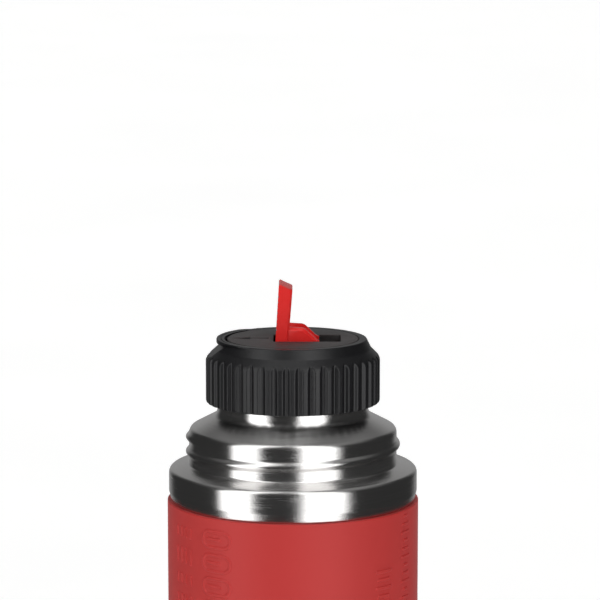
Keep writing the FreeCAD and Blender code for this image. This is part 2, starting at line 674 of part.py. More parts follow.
# Plug body: the threaded cup that hangs in the neck, with the inlet and its raised seat.
plug_body = new_body("plug_body")
turned(plug_body, "plug_turned", [
    ("inlet_radius", PLUG_LOW),
    (f"{PLUG_RADIUS} - plug_chamfer", PLUG_LOW),
    (PLUG_RADIUS, f"{PLUG_LOW} + plug_chamfer"),
    (PLUG_RADIUS, FLANGE_LOW),
    (f"{SKIRT_RADIUS} - flange_margin", FLANGE_LOW),
    (f"{SKIRT_RADIUS} - flange_margin", FLANGE_HIGH),
    (PLUG_BORE, FLANGE_HIGH),
    (PLUG_BORE, f"{PLUG_LOW} + plug_chamfer"),
    (f"{PLUG_BORE} - plug_chamfer + plug_floor", f"{PLUG_LOW} + plug_floor"),
    ("inlet_radius + seat_width", f"{PLUG_LOW} + plug_floor"),
    ("inlet_radius + seat_width - 0.3", SEAT_HIGH),
    ("inlet_radius", SEAT_HIGH),
])
plug_thread_low = f"{thread_low} - plug_pitch / 2"
PLUG_CREST = f"{PLUG_RADIUS} + plug_bead_height"
wound(plug_body, "plug_thread", [
    (f"{PLUG_RADIUS} - plug_wall / 2", f"{plug_thread_low} - bead_foot / 2"),
    (f"{PLUG_CREST}", f"{plug_thread_low} - bead_crown / 2"),
    (f"{PLUG_CREST}", f"{plug_thread_low} + bead_crown / 2"),
    (f"{PLUG_RADIUS} - plug_wall / 2", f"{plug_thread_low} + bead_foot / 2"),
], "plug_pitch", "plug_turns")

# Seals about Z: round the disc's skirt, and round the valve stem.
ring_seal("disc_seal", f"{SEAL_SEAT} + seal_wire + 0.05", "seal_wire", f"{FLANGE_HIGH} + 1 + seal_wire")
STEM_SEAL_RADIUS = "stem_radius + 2 * stem_play + seal_wire"
ring_seal("stem_seal", STEM_SEAL_RADIUS, "seal_wire", f"{GUIDE_LOW} + guide_wall + seal_wire")

# Valve guide: the bush in the pocket's floor that guides the stem and holds the spring.
valve_guide = new_body("valve_guide")
STEM_BORE = "stem_radius + stem_play"
SEAL_ROOM = f"{STEM_SEAL_RADIUS} + seal_wire + 0.1"
turned(valve_guide, "guide_turned", [
    (STEM_BORE, GUIDE_LOW),
    ("guide_radius", GUIDE_LOW, "0.8"),
    ("guide_radius", f"{FLOOR_LOW} - guide_wall"),
    ("guide_radius + 1.5", f"{FLOOR_LOW} - guide_wall"),
    ("guide_radius + 1.5", FLOOR_LOW),
    ("guide_radius", FLOOR_LOW),
    ("guide_radius", FLOOR_HIGH),
    ("guide_radius - guide_wall", FLOOR_HIGH),
    ("guide_radius - guide_wall", GUIDE_SEAT),
    (STEM_BORE, GUIDE_SEAT),
    (STEM_BORE, f"{GUIDE_SEAT} - guide_wall + 0.1"),
    (SEAL_ROOM, f"{GUIDE_SEAT} - guide_wall + 0.1"),
    (SEAL_ROOM, f"{GUIDE_LOW} + guide_wall - 0.1"),
    (STEM_BORE, f"{GUIDE_LOW} + guide_wall - 0.1"),
])

# Valve spring: lifts the stem against the cam.
valve_spring = new_body("valve_spring")
spring_sketch = sketch_on(valve_spring, "wire_outline", "XZ_Plane")
draw_circle(spring_sketch, "spring_radius", f"{GUIDE_SEAT} + spring_wire + 0.02", "spring_wire")
coil = valve_spring.newObject("PartDesign::AdditiveHelix", "coil")
coil.Profile = spring_sketch
coil.ReferenceAxis = (spring_sketch, ["V_Axis"])
coil.Mode = "pitch-turns-angle"
SPRING_ROOM = f"({HEAD_LOW} - ({GUIDE_SEAT}) - 2 * spring_wire - 0.04)"
bind(coil, Pitch=f"{SPRING_ROOM} / spring_turns", Turns="spring_turns")
doc.recompute()

# Lever pin: a steel pin across the slot, held in the disc.
lever_pin = doc.addObject("Part::Cylinder", "lever_pin")
lever_pin.Label = "lever_pin"
bind(lever_pin, Radius="pin_radius", Height=PIN_LENGTH)
lever_pin.Placement.Rotation = FreeCAD.Rotation(FreeCAD.Vector(1, 0, 0), -90)
lever_pin.setExpression(".Placement.Base.x", sheet_text(PIVOT_X))
lever_pin.setExpression(".Placement.Base.y", sheet_text(f"-{PIN_LENGTH} / 2"))
lever_pin.setExpression(".Placement.Base.z", sheet_text(PIVOT_Z))
bodies.append(lever_pin)


def cam_point(angle, side):
    """A point of the involute cam whose outward normal points at an angle above +X."""
    reach = number("cam_heel") + number("cam_rate") * (angle + QUARTER_TURN)
    rate = number("cam_rate")
    across = reach * math.cos(angle) - rate * math.sin(angle)
    along = reach * math.sin(angle) + rate * math.cos(angle)
    return FreeCAD.Vector(across, side, along)


def slab(places, side, width):
    """A solid of constant width across Y from the corners (x, z) of its side."""
    corners = [FreeCAD.Vector(x, side, z) for x, z in places]
    return Part.Face(Part.makePolygon(corners + corners[:1])).extrude(FreeCAD.Vector(0, width, 0))


def lever_shape():
    """The lever upright with its pivot at the origin: tab, boss, and a cam hollowed from above."""
    width = number("slot_width - 2 * lever_play")
    side = -width / 2
    inset = number("fan_inset")
    boss = number("boss_radius")
    length = number("lever_length")
    fan = number("fan_rise")
    heel = number("cam_heel")
    right_face = number("lever_thick") - boss
    cam_steps = 12
    cam_angles = [-QUARTER_TURN + step * QUARTER_TURN / cam_steps for step in range(cam_steps + 1)]
    cam = Part.BSplineCurve()
    cam.interpolate([cam_point(angle, side + inset) for angle in cam_angles])
    heel_west = boss - 0.45
    corners = [
        (heel + 0.6, fan - 1.1),
        (heel - 1.65, fan),
        (right_face - 1, fan),
        (0, boss),
        (0, -boss * 0.8),
        (heel_west, -boss * 0.8),
        (heel_west, -heel),
    ]
    run = [cam_point(cam_angles[-1], side + inset)]
    run += [FreeCAD.Vector(x, side + inset, z) for x, z in corners]
    run += [cam_point(cam_angles[0], side + inset)]
    wire = Part.Wire(Part.__sortEdges__([cam.toShape()] + Part.makePolygon(run).Edges))
    fan_solid = Part.Face(wire).extrude(FreeCAD.Vector(0, width - 2 * inset, 0))
    tab = slab([
        (-boss, 0),
        (-boss, length),
        (right_face + 0.3, length - number("tip_slant")),
        (right_face + 0.3, length - 6),
        (right_face, 0),
    ], side, width)
    start = FreeCAD.Vector(0, side, 0)
    hub = Part.makeCylinder(boss, width, start, FreeCAD.Vector(0, 1, 0))
    bore = Part.makeCylinder(number("pin_radius + pin_play"), width, start, FreeCAD.Vector(0, 1, 0))
    cheek = number("cheek") + inset
    recess = Part.makeBox(
        heel - right_face - 1.4, width - 2 * cheek, fan,
        FreeCAD.Vector(right_face + 0.3, side + cheek, boss + 1.2))
    notches = [
        Part.makeBox(0.35, width - 3, 0.7, FreeCAD.Vector(-boss, side + 1.5, length - 4.2 - 2 * row))
        for row in range(6)]
    return fan_solid.fuse([tab, hub]).removeSplitter().cut([recess, bore] + notches)


# Lever: the moulded tab with its cam, leaning at rest by lever_lean.
lever = doc.addObject("Part::Feature", "lever")
lever.Label = "lever"
lever.Shape = lever_shape()
lever.Placement = FreeCAD.Placement(
    FreeCAD.Vector(number(PIVOT_X), 0, number(PIVOT_Z)),
    FreeCAD.Rotation(FreeCAD.Vector(0, 1, 0), number("lever_lean")))
bodies.append(lever)

# Valve stem: a rod with the flat head that the cam pushes and a flange that backs the washer.
valve_stem = new_body("valve_stem")
SPIGOT = "stem_radius - 0.5"
turned(valve_stem, "stem_turned", [
    ("0", f"{WASHER_LOW} - clip_wall - 0.6"),
    (SPIGOT, f"{WASHER_LOW} - clip_wall - 0.6"),
    (SPIGOT, WASHER_HIGH),
    ("stem_flange_radius", WASHER_HIGH),
    ("stem_flange_radius", f"{WASHER_HIGH} + stem_flange_wall"),
    ("stem_radius", f"{WASHER_HIGH} + stem_flange_wall + 1"),
    ("stem_radius", HEAD_LOW),
    ("head_radius", HEAD_LOW),
    ("head_radius", HEAD_HIGH, "0.5"),
    ("0", HEAD_HIGH),
])

# Valve washer: the silicone disc that closes the inlet.
valve_washer = new_body("valve_washer")
WASHER_RADIUS = "inlet_radius + seat_width + washer_lap"
turned(valve_washer, "washer_turned", [
    (SPIGOT, WASHER_LOW),
    (WASHER_RADIUS, WASHER_LOW, "0.4"),
    (WASHER_RADIUS, WASHER_HIGH, "0.4"),
    (SPIGOT, WASHER_HIGH),
])

# Washer clip: the pushed-on steel clip under the washer.
washer_clip = new_body("washer_clip")
turned(washer_clip, "clip_turned", [
    (SPIGOT, f"{WASHER_LOW} - clip_wall"),
    ("clip_radius", f"{WASHER_LOW} - clip_wall"),
    ("clip_radius", WASHER_LOW),
    (SPIGOT, WASHER_LOW),
])

doc.recompute()
for item in doc.Objects:
    if "Invalid" in item.State or "Error" in item.State:
        raise RuntimeError(f"{item.Label} did not recompute: {item.State}")
for body in bodies:
    if body.Shape.isNull() or not body.Shape.isValid():
        raise RuntimeError(f"{body.Label} has no valid shape")
    if len(body.Shape.Solids) != 1:
        raise RuntimeError(f"{body.Label} is {len(body.Shape.Solids)} solids")

os.makedirs("parts", exist_ok=True)
for body in bodies:
    body.Shape.exportStep(f"parts/{body.Label}.step")
    box = body.Shape.BoundBox
    print(f"{body.Label:16s} {body.Shape.Volume:10.1f} mm3  z {box.ZMin:7.2f} to {box.ZMax:7.2f}")
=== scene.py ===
import math

import bpy
import numpy as np
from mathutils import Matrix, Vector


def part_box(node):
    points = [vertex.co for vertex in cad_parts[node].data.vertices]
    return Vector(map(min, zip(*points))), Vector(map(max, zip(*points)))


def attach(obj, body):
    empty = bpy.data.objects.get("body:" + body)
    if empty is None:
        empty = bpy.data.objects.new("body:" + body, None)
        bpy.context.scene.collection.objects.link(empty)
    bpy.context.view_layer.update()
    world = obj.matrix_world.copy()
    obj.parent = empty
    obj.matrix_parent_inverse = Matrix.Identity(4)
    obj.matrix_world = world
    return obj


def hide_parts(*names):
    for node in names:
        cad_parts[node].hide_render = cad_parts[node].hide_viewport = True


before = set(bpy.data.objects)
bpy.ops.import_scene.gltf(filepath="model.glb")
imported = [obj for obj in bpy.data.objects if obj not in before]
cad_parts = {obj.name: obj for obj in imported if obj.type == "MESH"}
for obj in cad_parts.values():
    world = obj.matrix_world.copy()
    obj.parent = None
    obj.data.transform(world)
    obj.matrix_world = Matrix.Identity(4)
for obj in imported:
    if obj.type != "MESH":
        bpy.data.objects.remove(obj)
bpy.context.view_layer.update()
MM = 0.001

# ---------------------------------------------------------------------------------------------
# The flask as packed: where its main edges lie, which every piece below is set out from.
# Sizes are in millimetres and heights are above the table.

def span(node):
    """A node's lowest and highest corners in millimetres."""
    low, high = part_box(node)
    return low / MM, high / MM


_, sleeve_high = span("silicone_sleeve")
shell_low, shell_high = span("outer_shell")
ring_low, ring_high = span("grip_ring")
_, disc_high = span("top_disc")
pin_low, pin_high = span("lever_pin")
SLEEVE_TOP = sleeve_high.z
NECK_TOP = shell_high.z
STOPPER_TOP = disc_high.z
RING_FOOT = ring_low.z

# ---------------------------------------------------------------------------------------------
# The studio: a pale floor that runs far behind the flask, tall soft boxes at both sides of the
# camera, and a camera with a long lens a little above the stopper.

EYE_DISTANCE = 1.0365
EYE_HEIGHT = 0.168
EYE_RIGHT = 0.0026
EYE_PITCH = 8.45
LENS = 172.8

camera_data = bpy.data.cameras.new("studio_camera")
camera_data.lens = LENS
camera_data.sensor_width = 36
camera = bpy.data.objects.new("studio_camera", camera_data)
camera.location = (EYE_RIGHT, -EYE_DISTANCE, STOPPER_TOP * MM + EYE_HEIGHT)
camera.rotation_euler = (math.radians(90 - EYE_PITCH), 0, 0)
bpy.context.collection.objects.link(camera)
bpy.context.scene.camera = camera
bpy.context.scene.view_settings.view_transform = "Standard"


class Value:
    """A number inside a material, which can be used in sums."""

    def __init__(self, finish, socket):
        self.finish = finish
        self.socket = socket

    def sum_with(self, operation, *others):
        places = dict(enumerate((self, *others)))
        return self.finish.node("ShaderNodeMath", {"operation": operation}, places)

    def __add__(self, other):
        return self.sum_with("ADD", other)

    def __sub__(self, other):
        return self.sum_with("SUBTRACT", other)

    def __mul__(self, other):
        return self.sum_with("MULTIPLY", other)

    def __truediv__(self, other):
        return self.sum_with("DIVIDE", other)

    def __rsub__(self, other):
        return self * -1 + other

    __radd__ = __add__
    __rmul__ = __mul__


class Finish:
    """The nodes of a material or of the studio's air, put together one at a time."""

    def __init__(self, owner, coordinates="Object"):
        self.owner = owner
        self.owner.use_nodes = True
        self.tree = self.owner.node_tree
        self.tree.nodes.clear()
        self.place = self.node("ShaderNodeTexCoord", {}, {}, coordinates)

    def node(self, kind, settings, places, output=0):
        """Add a node, set it up, then fill its sockets with values or links."""
        made = self.tree.nodes.new(kind)
        for name, setting in settings.items():
            if name == "stops":
                self.set_stops(made.color_ramp, setting)
            else:
                setattr(made, name, setting)
        for name, filling in places.items():
            if isinstance(filling, Value):
                self.tree.links.new(filling.socket, made.inputs[name])
            else:
                made.inputs[name].default_value = filling
        return Value(self, made.outputs[output]) if made.outputs else made

    def set_stops(self, ramp, stops):
        """Give a ramp its stops, each a place and a grey or a colour."""
        while len(ramp.elements) < len(stops):
            ramp.elements.new(0.5)
        for element, (place, shade) in zip(ramp.elements, stops):
            element.position = place
            element.color = shade if isinstance(shade, tuple) else (shade, shade, shade, 1)

    def noise(self, stretch, detail=3.0, roughness=0.5):
        """Noise between 0 and 1, with a number of waves per metre along each axis."""
        where = self.node("ShaderNodeVectorMath", {"operation": "MULTIPLY"}, {0: self.place, 1: stretch})
        settings = {"noise_dimensions": "3D"}
        places = {"Vector": where, "Scale": 1.0, "Detail": detail, "Roughness": roughness}
        return self.node("ShaderNodeTexNoise", settings, places)

    def ramp(self, value, stops):
        """A value passed through a ramp of stops."""
        return self.node("ShaderNodeValToRGB", {"stops": stops}, {"Fac": value})

    def mix(self, factor, first, second):
        """A colour between two colours."""
        settings = {"data_type": "RGBA"}
        return self.node("ShaderNodeMix", settings, {0: factor, 6: first, 7: second}, 2)

    def bump(self, height, distance, strength=1.0):
        """The normal of a surface raised by a height between 0 and 1 times a distance in metres."""
        places = {"Height": height, "Distance": distance, "Strength": strength}
        return self.node("ShaderNodeBump", {}, places)

    def surface(self, **places):
        """The principled shader, with its sockets named in small letters."""
        sockets = {name.replace("_", " ").title().replace("Ior", "IOR"): places[name] for name in places}
        shader = self.node("ShaderNodeBsdfPrincipled", {}, sockets)
        self.node("ShaderNodeOutputMaterial", {}, {"Surface": shader})
        return self.owner


def plain_cover(piece, material):
    """Give a piece one material all over."""
    piece.data.materials.clear()
    piece.data.materials.append(material)


LEFT_BOX = (-71.0, -38.0)
RIGHT_BOX = (9.0, 51.0)
BOX_EDGE = 2.0
BOX_LIGHT = 2.7
BACK_LIGHT = 0.35
ROOM_LIGHT = 0.045
TOP_LIGHT = 0.35


def studio_air():
    """Light from all round: two tall soft boxes in front, a pale wall behind, and a soft top."""
    finish = Finish(bpy.data.worlds.new("studio_air"), "Generated")
    east, north, up = (finish.node("ShaderNodeSeparateXYZ", {}, {0: finish.place}, axis) for axis in range(3))
    azimuth = east.sum_with("ARCTAN2", north * -1) * (180 / math.pi)

    def box(low, high, edge):
        """1 between two azimuths, falling to 0 over an edge."""
        middle = (low + high) / 2
        half = (high - low) / 2
        away = (azimuth - middle).sum_with("ABSOLUTE")
        return finish.ramp((away - half) / (2 * edge) + 0.5, [(0.0, 1.0), (1.0, 0.0)])

    fronts = box(*LEFT_BOX, BOX_EDGE) + box(*RIGHT_BOX, BOX_EDGE)
    back = finish.ramp(azimuth.sum_with("ABSOLUTE") / 180, [(0.80, 0.0), (0.90, 1.0)])
    top = finish.ramp(up, [(0.55, 0.0), (0.95, 1.0)])
    light = fronts * BOX_LIGHT + back * BACK_LIGHT + top * TOP_LIGHT + ROOM_LIGHT
    glow = finish.node("ShaderNodeBackground", {}, {"Strength": light})
    finish.node("ShaderNodeOutputWorld", {}, {"Surface": glow})
    bpy.context.scene.world = finish.owner


studio_air()


def floor_finish():
    """Matt pale board, lit evenly, with a trace of unevenness."""
    finish = Finish(bpy.data.materials.new("pale_floor"))
    cloud = finish.noise((3, 3, 3))
    colour = finish.mix(cloud, (0.70, 0.70, 0.70, 1), (0.74, 0.74, 0.735, 1))
    return finish.surface(base_color=colour, roughness=0.9, specular_ior_level=0.1,
                          emission_color=colour, emission_strength=0.75)


FLOOR_REACH = 14.0
floor_mesh = bpy.data.meshes.new("studio_floor")
floor_corners = [(x * FLOOR_REACH, y * FLOOR_REACH, 0) for x, y in ((-1, -1), (1, -1), (1, 1), (-1, 1))]
floor_mesh.from_pydata(floor_corners, [], [(0, 1, 2, 3)])
floor = bpy.data.objects.new("studio_floor", floor_mesh)
bpy.context.collection.objects.link(floor)
floor.visible_glossy = False
plain_cover(floor, floor_finish())

# ---------------------------------------------------------------------------------------------
# Outer shell: spun stainless steel in one piece from the hem under the base to the rim of the
# neck, brushed round its axis, with the thread for the cup rolled into the collar.

COLLAR_RADIUS = 38.0
BAND_RADIUS = 45.45
BODY_RADIUS = 44.5
NECK_RADIUS = 27.6
SHELL_WALL = 0.6
LEDGE_Z = SLEEVE_TOP + 13.4
COLLAR_TOP_Z = LEDGE_Z + 13.0
NECK_FOOT_Z = COLLAR_TOP_Z + 5.2
BEAD_PITCH = 5.25
BEAD_HEIGHT = 1.25
BEAD_HALF_WIDTH = 2.0
BEAD_START_Z = LEDGE_Z + 4.3
BEAD_START = math.radians(180)
BEAD_FADE = math.radians(28)


def rounded(corners, steps=6):
    """The points of an open outline whose corners (radius, height, rounding) are arcs."""
    points = []
    last = len(corners) - 1
    for index, (radius, height, rounding) in enumerate(corners):
        corner = np.array((radius, height), float)
        if rounding == 0 or index in (0, last):
            points.append(corner)
            continue
        back = np.array(corners[index - 1][:2], float) - corner
        ahead = np.array(corners[index + 1][:2], float) - corner
        back /= np.linalg.norm(back)
        ahead /= np.linalg.norm(ahead)
        half = math.acos(max(-1.0, min(1.0, float(back @ ahead)))) / 2
        middle = (back + ahead) / np.linalg.norm(back + ahead)
        centre = corner + middle * rounding / math.sin(half)
        first = corner + back * rounding / math.tan(half) - centre
        second = corner + ahead * rounding / math.tan(half) - centre
        opening = math.pi - 2 * half
        for step in range(steps + 1):
            share = step / steps
            near = math.sin((1 - share) * opening) / math.sin(opening)
            far = math.sin(share * opening) / math.sin(opening)
            points.append(centre + first * near + second * far)
    return points


def refined(points, low, high, spacing):
    """The same outline with short steps wherever it runs between two heights."""
    finer = [points[0]]
    for point in points[1:]:
        before = finer[-1]
        length = float(np.linalg.norm(point - before))
        inside = min(point[1], before[1]) < high and max(point[1], before[1]) > low
        pieces = max(1, math.ceil(length / spacing)) if inside else 1
        finer += [before + (point - before) * (piece + 1) / pieces for piece in range(pieces)]
    return finer


def lathe(name, outline, angles, shape=None, smooth_angle=35.0):
    """A closed outline turned about Z; shape(angles, radii, heights) may move the points."""
    radii, turns = np.meshgrid([point[0] for point in outline], angles)
    heights, _ = np.meshgrid([point[1] for point in outline], angles)
    if shape is not None:
        radii, heights = shape(turns, radii, heights)
    places = np.stack([radii * np.cos(turns), radii * np.sin(turns), heights], axis=-1) * MM
    rows, columns = radii.shape
    grid = np.arange(rows * columns).reshape(rows, columns)
    ahead = np.roll(grid, -1, axis=0)
    across = np.roll(grid, -1, axis=1)
    faces = np.stack([grid, ahead, np.roll(ahead, -1, axis=1), across], axis=-1).reshape(-1, 4)
    return mesh_piece(name, places.reshape(-1, 3).tolist(), faces.tolist(), smooth_angle)


def mesh_piece(name, places, faces, smooth_angle):
    """A smooth-shaded piece from its points in metres and its faces."""
    mesh = bpy.data.meshes.new(name)
    mesh.from_pydata(places, [], faces)
    mesh.validate()
    piece = bpy.data.objects.new(name, mesh)
    bpy.context.collection.objects.link(piece)
    smooth(piece, smooth_angle)
    return piece


def pick(piece):
    """Make a piece the only one selected, and the active one."""
    bpy.context.view_layer.objects.active = piece
    for other in bpy.context.selected_objects:
        other.select_set(False)
    piece.select_set(True)


def smooth(piece, angle):
    """Shade a piece smooth, with its normals outward and edges kept where it turns sharply."""
    pick(piece)
    bpy.ops.object.mode_set(mode="EDIT")
    bpy.ops.mesh.select_all(action="SELECT")
    bpy.ops.mesh.normals_make_consistent(inside=False)
    bpy.ops.object.mode_set(mode="OBJECT")
    bpy.ops.object.shade_smooth_by_angle(angle=math.radians(angle))
    piece.select_set(False)


def even_angles(count):
    """Angles all the way round."""
    return np.arange(count) * 2 * math.pi / count


def rolled_bead(turns, radii, heights):
    """Press the cup's thread out of the collar: a smooth ridge that fades at both ends."""
    raised = np.zeros_like(radii)
    for lap in (-1, 0, 1, 2):
        travel = turns + lap * 2 * math.pi - BEAD_START
        ridge = BEAD_START_Z + BEAD_PITCH * travel / (2 * math.pi)
        fade = np.clip((travel + BEAD_FADE) / BEAD_FADE, 0, 1)
        fade = fade * np.clip((2 * math.pi + BEAD_FADE - travel) / BEAD_FADE, 0, 1)
        fade = fade * fade * (3 - 2 * fade)
        away = np.clip(np.abs(heights - ridge) / BEAD_HALF_WIDTH, 0, 1)
        ridge_shape = (0.5 + 0.5 * np.cos(math.pi * away)) ** 0.8
        raised = np.maximum(raised, BEAD_HEIGHT * fade * ridge_shape)
    on_collar = np.abs(radii - COLLAR_RADIUS) < SHELL_WALL + 0.1
    return radii + np.where(on_collar, raised, 0), heights


BRUSH_TURN = 0.25


def brushed_steel(name, tint, roughness, streak):
    """Stainless steel brushed round Z: fine lines that run level and shift slowly round the turn."""
    finish = Finish(bpy.data.materials.new(name))
    fine = finish.noise((40, 40, 9000), 2.0, 0.6)
    coarse = finish.noise((14, 14, 1500), 3.0, 0.6)
    cloud = finish.noise((18, 18, 30), 2.0)
    lines = fine * 0.6 + coarse * 0.4
    dull = lines * 0.22 + cloud * 0.08 + (roughness - 0.12)
    darker = tuple(part * 0.86 for part in tint) + (1,)
    colour = finish.mix(finish.ramp(lines, [(0.3, 0.0), (0.7, 1.0)]), darker, (*tint, 1))
    normal = finish.bump(lines, streak)
    return finish.surface(base_color=colour, metallic=1.0, roughness=dull, normal=normal,
                          anisotropic=0.85, anisotropic_rotation=BRUSH_TURN)


shell_corners = [
    (shell_high.x - 8.0, shell_low.z, 0),
    (BODY_RADIUS, shell_low.z, 4.0),
    (BODY_RADIUS, SLEEVE_TOP, 0.1),
    (BODY_RADIUS + 0.3, SLEEVE_TOP + 0.4, 0.1),
    (BAND_RADIUS, SLEEVE_TOP + 3.4, 3.0),
    (BAND_RADIUS, SLEEVE_TOP + 11.4, 1.9),
    (COLLAR_RADIUS, LEDGE_Z, 1.0),
    (COLLAR_RADIUS, COLLAR_TOP_Z - 0.3, 2.4),
    (NECK_RADIUS, NECK_FOOT_Z, 3.2),
    (NECK_RADIUS, NECK_TOP - 0.3, 0),
    (NECK_RADIUS - 0.3, NECK_TOP, 0),
]
shell_outer = refined(rounded(shell_corners), LEDGE_Z + 0.5, COLLAR_TOP_Z - 0.5, 0.25)
shell_inner = [
    (NECK_RADIUS - SHELL_WALL, NECK_TOP),
    (NECK_RADIUS - SHELL_WALL, NECK_FOOT_Z),
    (COLLAR_RADIUS - 1.3, COLLAR_TOP_Z - 0.8),
    (COLLAR_RADIUS - 1.3, LEDGE_Z - 0.6),
    (BAND_RADIUS - 1.4, SLEEVE_TOP + 10.6),
    (BODY_RADIUS - SHELL_WALL, SLEEVE_TOP),
    (BODY_RADIUS - SHELL_WALL, shell_low.z + 4.0),
    (BODY_RADIUS - 4.0, shell_low.z + SHELL_WALL),
    (shell_high.x - 8.0, shell_low.z + SHELL_WALL),
]
shell = lathe("steel_shell", shell_outer + [np.array(point) for point in shell_inner],
              even_angles(360), rolled_bead)
steel = brushed_steel("brushed_steel", (0.71, 0.70, 0.69), 0.20, 0.00003)
plain_cover(shell, steel)
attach(shell, "flask")
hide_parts("outer_shell")

# ---------------------------------------------------------------------------------------------
# Inner vessel and bases: bright drawn steel, welded at the rim, with the evacuation hole closed
# by glass and a thin steel cap bonded over it. The cap is brushed like the shell.

bright_steel = brushed_steel("drawn_steel", (0.74, 0.74, 0.73), 0.2, 0.00001)
for node in ("inner_vessel", "inner_base", "outer_base"):
    plain_cover(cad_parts[node], bright_steel)
plain_cover(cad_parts["base_cover"], steel)


def speckled(name, dark, light, waves, roughness, metallic=0.0, depth=0.0002):
    """A grainy surface between two colours."""
    finish = Finish(bpy.data.materials.new(name))
    grain = finish.noise((waves, waves, waves), 4.0, 0.6)
    colour = finish.mix(grain, (*dark, 1), (*light, 1))
    dull = grain * 0.2 + (roughness - 0.1)
    normal = finish.bump(grain, depth)
    return finish.surface(base_color=colour, metallic=metallic, roughness=dull, normal=normal)


solder_glass = speckled("solder_glass", (0.05, 0.06, 0.07), (0.10, 0.12, 0.13), 900, 0.2)
getter_alloy = speckled("getter_alloy", (0.10, 0.10, 0.11), (0.22, 0.22, 0.23), 2500, 0.7, 0.8)
copper_foil = speckled("copper_foil", (0.72, 0.36, 0.22), (0.85, 0.50, 0.34), 160, 0.22, 1.0)
plain_cover(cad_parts["vacuum_seal"], solder_glass)
plain_cover(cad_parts["getter"], getter_alloy)
plain_cover(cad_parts["radiation_foil"], copper_foil)

# ---------------------------------------------------------------------------------------------
# Silicone sleeve: moulded silicone rubber, stretched over the body and turned in under the base.
# Raised marks 0.35 mm proud are moulded into it below the rim; here they are plain shapes.

SLEEVE_WALL = 1.5
MARK_HEIGHT = 0.35
MARK_EDGE = 0.28
MARK_TOP_Z = SLEEVE_TOP - 3.5
MARK_LOW_Z = SLEEVE_TOP - 46.0
SLEEVE_RADIUS = BODY_RADIUS + SLEEVE_WALL
MARK_ARCS = ((-163.0, -113.0), (-60.0, -18.0))


def capsule_distance(across, along, centre, half_length, radius, upright):
    """How far points lie outside a capsule, negative inside."""
    over = across - centre[0]
    up = along - centre[1]
    if upright:
        over, up = up, over
    over = np.maximum(np.abs(over) - half_length, 0)
    return np.hypot(over, up) - radius


def mark_field(across, along):
    """How far points of the unrolled sleeve lie outside the nearest raised mark."""
    away = np.full_like(across, 9.0)
    rows = 5
    for row in range(rows):
        level = MARK_TOP_Z - 4.0 - 8.6 * row
        hollow = capsule_distance(across, along, (-101.5, level), 3.2, 3.4, False)
        away = np.minimum(away, np.abs(hollow + 0.5) - 0.5)
        away = np.minimum(away, capsule_distance(across, along, (-102.5, level), 2.6, 0.55, False))
        for tick in range(4):
            centre = (-124.0 + 3.1 * tick, level)
            stub = capsule_distance(across, along, centre, 1.3 + row % 2, 0.6, True)
            away = np.minimum(away, stub)
    for row in range(14):
        level = MARK_TOP_Z + 1.5 - 3.0 * row
        tick = capsule_distance(across, along, (-22.5, level), 1.2 + 0.8 * (row % 3), 0.45, False)
        away = np.minimum(away, tick)
        if row > 5:
            bar = capsule_distance(across, along, (-36.0, level), 3.4 - row % 2, 0.6, False)
            away = np.minimum(away, bar)
    return away


def raise_marks(turns, radii, heights):
    """Lift the marks out of the sleeve's outside."""
    signed = (turns + math.pi) % (2 * math.pi) - math.pi
    away = mark_field(signed * SLEEVE_RADIUS, heights)
    lift = np.clip(0.5 - away / MARK_EDGE, 0, 1)
    lift = lift * lift * (3 - 2 * lift)
    outside = radii > SLEEVE_RADIUS - 0.05
    return radii + np.where(outside, lift * MARK_HEIGHT, 0), heights


def packed_angles(arcs, fine, coarse):
    """Angles in degrees all the way round, close together inside the arcs."""
    angles = []
    angle = -180.0
    while angle < 180.0 - coarse / 2:
        angles.append(math.radians(angle))
        inside = any(low <= angle <= high for low, high in arcs)
        angle += fine if inside else coarse
    return np.array(angles)


def red_silicone():
    """Satin silicone: soft broad shine, a fine moulded tooth and a trace of dust in its colour."""
    finish = Finish(bpy.data.materials.new("red_silicone"))
    tooth = finish.noise((5200, 5200, 5200), 3.0, 0.6)
    cloud = finish.noise((24, 24, 18), 3.0)
    colour = finish.mix(cloud, (0.44, 0.024, 0.022, 1), (0.49, 0.032, 0.029, 1))
    dull = tooth * 0.10 + cloud * 0.08 + 0.40
    normal = finish.bump(tooth, 0.00002)
    return finish.surface(base_color=colour, roughness=dull, normal=normal, specular_ior_level=0.35,
                          sheen_weight=0.06, sheen_roughness=0.4)


sleeve_corners = [
    (BODY_RADIUS, SLEEVE_TOP - 0.35, 0),
    (BODY_RADIUS, shell_low.z, 4.0),
    (SLEEVE_RADIUS - 12.0, shell_low.z, 0.3),
    (SLEEVE_RADIUS - 12.0, 0.0, 0.6),
    (SLEEVE_RADIUS, 0.0, 5.0),
    (SLEEVE_RADIUS, SLEEVE_TOP, 0.45),
    (BODY_RADIUS + 0.05, SLEEVE_TOP, 0),
]
sleeve_outline = refined(rounded(sleeve_corners, 8), MARK_LOW_Z, SLEEVE_TOP - 1.0, 0.22)
sleeve = lathe("red_sleeve", sleeve_outline, packed_angles(MARK_ARCS, 0.28, 1.6), raise_marks)
plain_cover(sleeve, red_silicone())
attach(sleeve, "flask")
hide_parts("silicone_sleeve")

# ---------------------------------------------------------------------------------------------
# Grip ring: moulded black plastic with 44 scalloped grooves, a waisted shoulder, a thin pouring lip
# on the left and a flat cut under the lip. The plug and the disc are fixed inside it.

